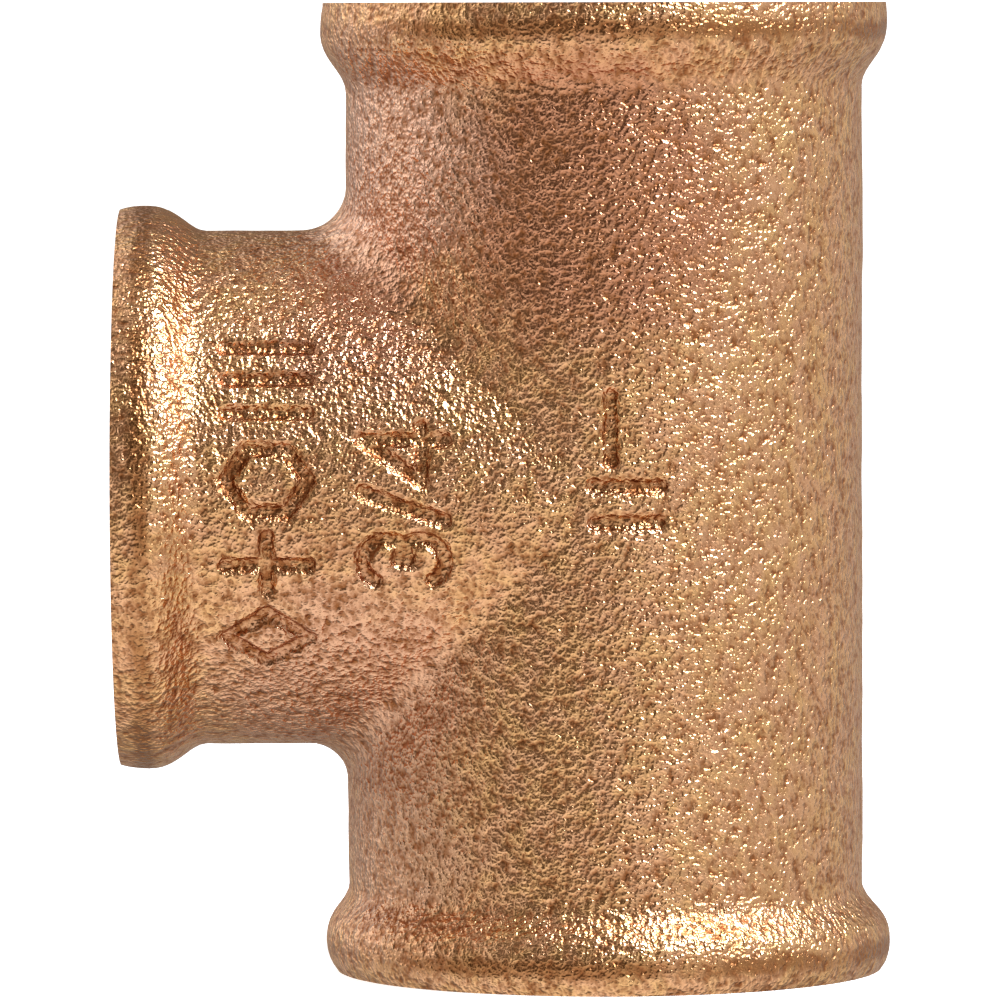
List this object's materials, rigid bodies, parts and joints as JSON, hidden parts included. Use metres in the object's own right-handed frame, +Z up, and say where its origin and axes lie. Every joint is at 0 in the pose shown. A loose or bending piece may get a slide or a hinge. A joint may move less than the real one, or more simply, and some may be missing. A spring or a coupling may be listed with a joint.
{
  "type": "tee fitting",
  "caption": "Equal pipe tee, nominal 3/4, cast bronze: straight run with a square branch, banded ends, machined faces and parallel internal pipe threads.",
  "frame": {"origin": "middle of the bounding box at its base, in the plane of the lower run face; the run's axis is at x = +6.225 mm, y = 0, and the branch's axis crosses it at z = 30 mm", "axes": "+Z up along the run, -X out along the branch, +Y away from the side that carries the sunk marks"},
  "size_m": [0.0476, 0.0352, 0.06],
  "materials": {
    "bronze": "sand-cast red bronze skin, unpolished, with machined end faces and tapped threads"
  },
  "bodies": {
    "root": {"tee_body": "bronze"}
  },
  "joints": []
}
